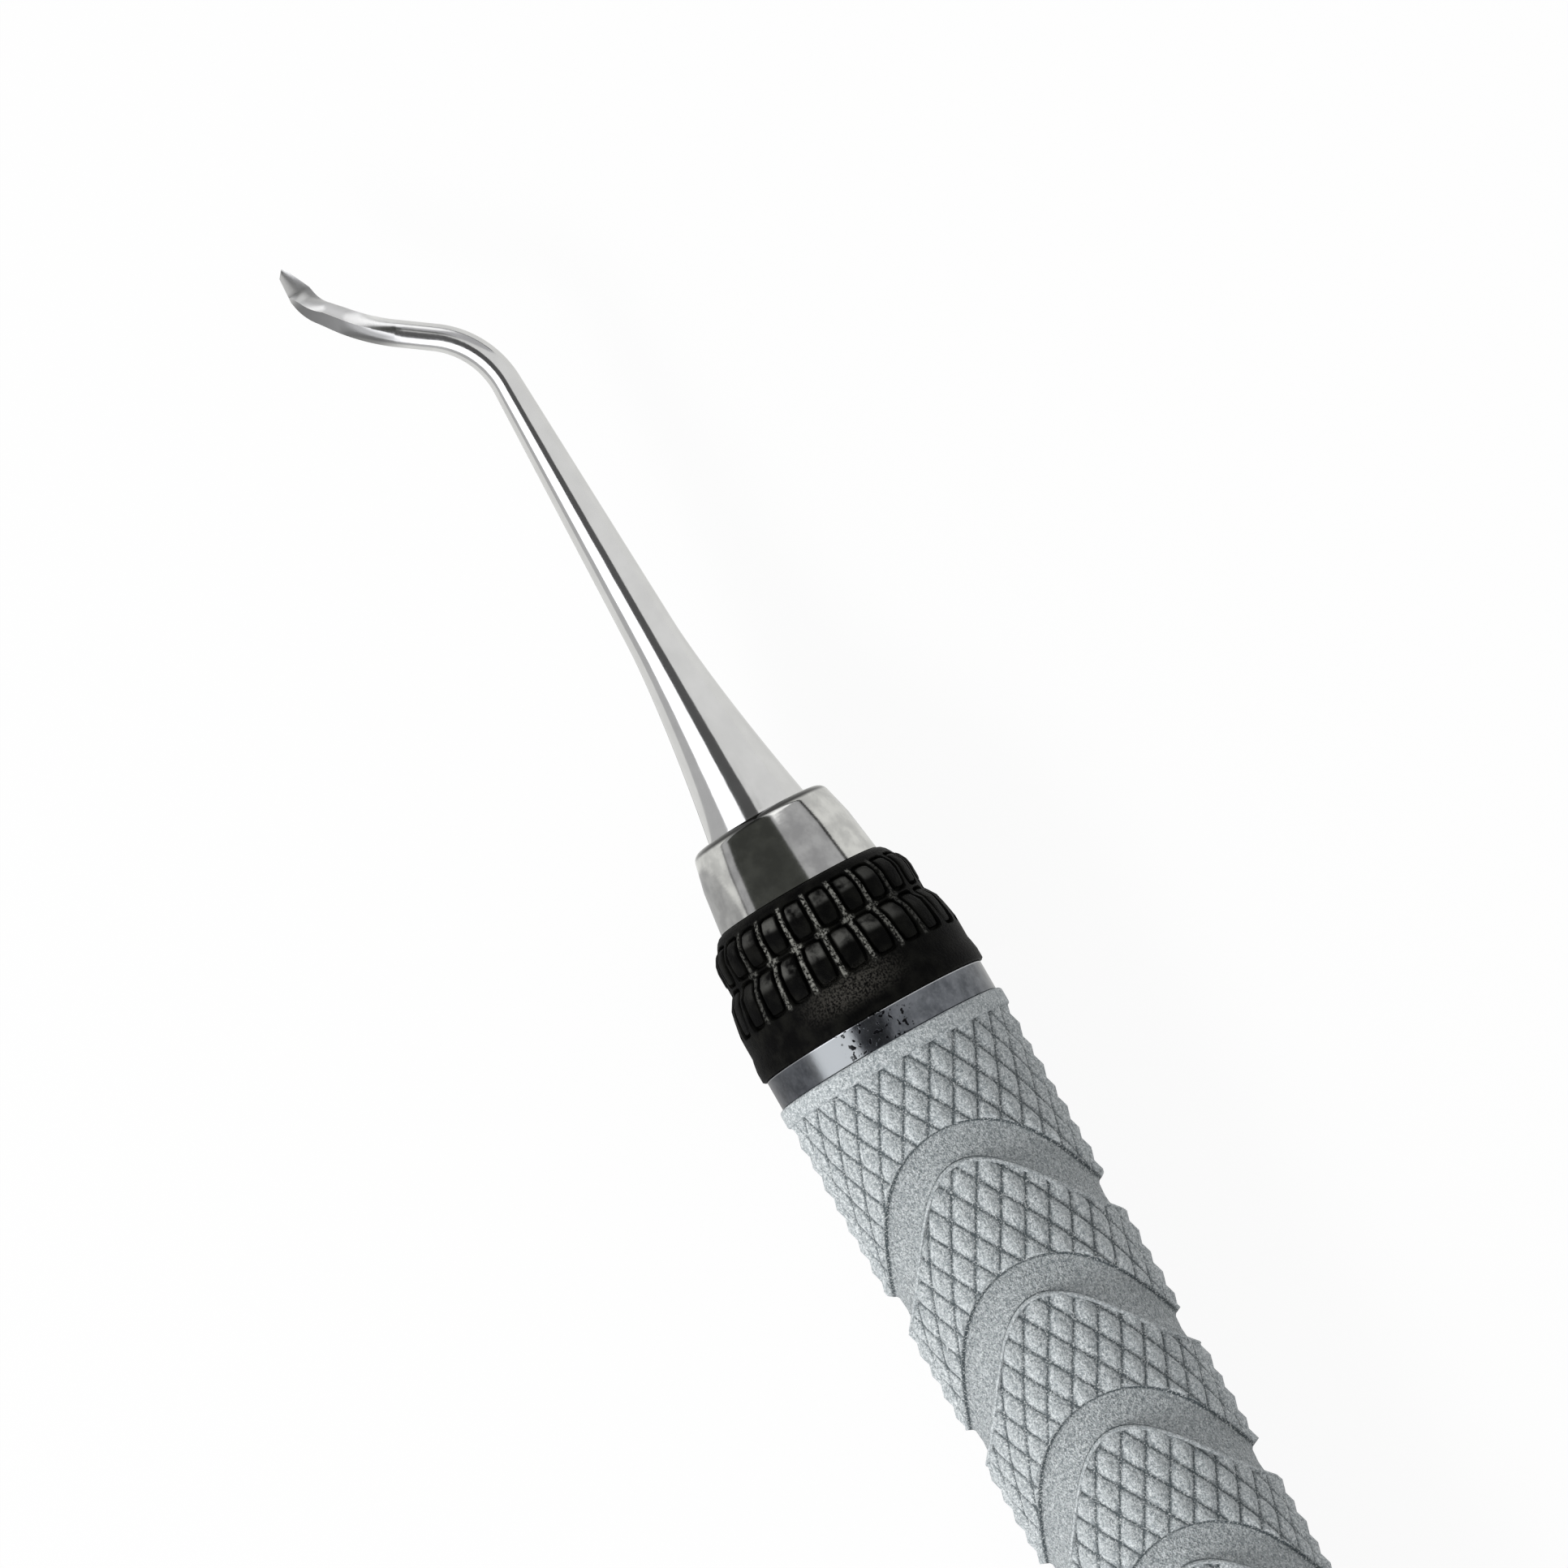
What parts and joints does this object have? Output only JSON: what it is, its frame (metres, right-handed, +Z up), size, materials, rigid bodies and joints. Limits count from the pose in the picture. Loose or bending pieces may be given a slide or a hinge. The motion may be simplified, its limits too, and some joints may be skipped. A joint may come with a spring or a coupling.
{
  "type": "dental scaler",
  "caption": "Single-ended hand scaler: a ground blade on a bent, tapered steel shank, a turned nose with a black ring, and a knurled resin grip crossed by wavy channels.",
  "frame": {"origin": "centre of the flat butt face, on the handle's axis", "axes": "+X along the handle towards the working end, +Y the side the working end bends to, +Z up; the scaler lies on its handle"},
  "size_m": [0.1551, 0.0104, 0.0096],
  "materials": {
    "tip_steel": "mirror-polished stainless steel",
    "nose_steel": "polished turned stainless steel",
    "ring_elastomer": "moulded black elastomer, semi-gloss",
    "insert_steel": "polished turned stainless steel",
    "grip_resin": "moulded blue-grey resin, satin"
  },
  "bodies": {
    "root": {"scaler_tip": "tip_steel", "nose_cone": "nose_steel", "grip_ring": "ring_elastomer", "collar_insert": "insert_steel", "grip_handle": "grip_resin"}
  },
  "joints": []
}
